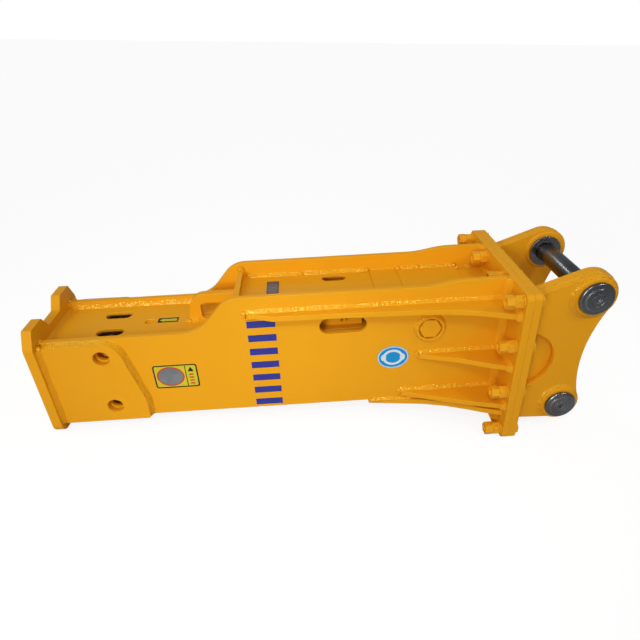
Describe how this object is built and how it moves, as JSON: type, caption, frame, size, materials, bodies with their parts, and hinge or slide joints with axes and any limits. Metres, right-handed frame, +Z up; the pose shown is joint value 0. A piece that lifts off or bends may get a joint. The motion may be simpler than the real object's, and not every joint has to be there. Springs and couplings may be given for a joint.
{
  "type": "hydraulic breaker hammer",
  "caption": "Box-type hydraulic breaker hammer without its tool: ribbed housing, bolted top bracket with turning pins, and the complete power cell inside.",
  "frame": {"origin": "centre of the underside of the bounding box", "axes": "+X from the tool end to the bracket end, +Y across the housing towards the side without the gas charging valve, +Z up through the recessed front, with the hammer lying on its back"},
  "size_m": [1.971, 0.58, 0.6249],
  "materials": {
    "housing_paint": "gloss",
    "bright_steel": "ground",
    "dark_steel": "blackened",
    "cast_metal": "machined",
    "urethane": "matte",
    "brass": "satin",
    "rubber": "matte",
    "plate_metal": "satin",
    "label_yellow": "gloss",
    "label_blue": "gloss",
    "label_dark": "gloss"
  },
  "bodies": {
    "housing": {"side_plate_left": "housing_paint", "side_plate_right": "housing_paint", "tool_end_plate": "housing_paint", "cheek_plate_left": "housing_paint", "cheek_plate_right": "housing_paint", "lower_front_wall": "housing_paint", "upper_front_wall": "housing_paint", "service_cover": "housing_paint", "step_wall": "housing_paint", "lifting_lug": "housing_paint", "back_wall": "housing_paint", "base_plate": "housing_paint", "base_gussets": "housing_paint", "upper_ribs": "housing_paint", "middle_ribs": "housing_paint", "lower_ribs": "housing_paint", "housing_flange": "housing_paint", "plug_rings": "housing_paint", "side_plugs": "housing_paint", "bracket_flange": "housing_paint", "ear_left": "housing_paint", "ear_right": "housing_paint", "ear_doublers": "housing_paint", "ear_bosses": "housing_paint", "pin_bushes": "dark_steel", "flange_bolts": "housing_paint", "flange_nuts": "housing_paint", "flange_washers": "housing_paint", "front_head": "housing_paint", "lower_bushing": "bright_steel", "bushing_pins": "dark_steel", "tool_pins": "bright_steel", "thrust_ring": "bright_steel", "cylinder_body": "housing_paint", "seal_carrier": "bright_steel", "piston_seals": "rubber", "back_head": "cast_metal", "through_bolts": "dark_steel", "through_bolt_nuts": "dark_steel", "top_damper": "urethane", "bottom_damper": "urethane", "wear_plates": "rubber", "valve_block": "housing_paint", "valve_cap": "housing_paint", "valve_screws": "dark_steel", "hose_adapters": "housing_paint", "gas_valve": "brass", "grease_plug": "housing_paint", "nameplate": "plate_metal", "yellow_labels": "label_yellow", "oval_labels": "label_blue", "stripe_labels": "label_dark"},
    "piston": {"piston": "bright_steel"},
    "spool": {"valve_spool": "bright_steel"},
    "upper_pin_set": {"upper_pin": "dark_steel", "upper_pin_caps": "dark_steel", "upper_pin_screws": "dark_steel"},
    "lower_pin_set": {"lower_pin": "dark_steel", "lower_pin_caps": "dark_steel", "lower_pin_screws": "dark_steel"}
  },
  "joints": [
    {"name": "piston_stroke", "type": "slide", "parent": "housing", "child": "piston", "axis": [1, 0, 0], "range_m": [0, 0.1]},
    {"name": "spool_shift", "type": "slide", "parent": "housing", "child": "spool", "axis": [1, 0, 0], "range_m": [0, 0.02]},
    {"name": "upper_pin_turn", "type": "hinge", "parent": "housing", "child": "upper_pin_set", "pos_m": [0.9025, 0, 0.542], "axis": [0, 1, 0], "continuous": true},
    {"name": "lower_pin_turn", "type": "hinge", "parent": "housing", "child": "lower_pin_set", "pos_m": [0.8705, 0, 0.103], "axis": [0, 1, 0], "continuous": true}
  ]
}
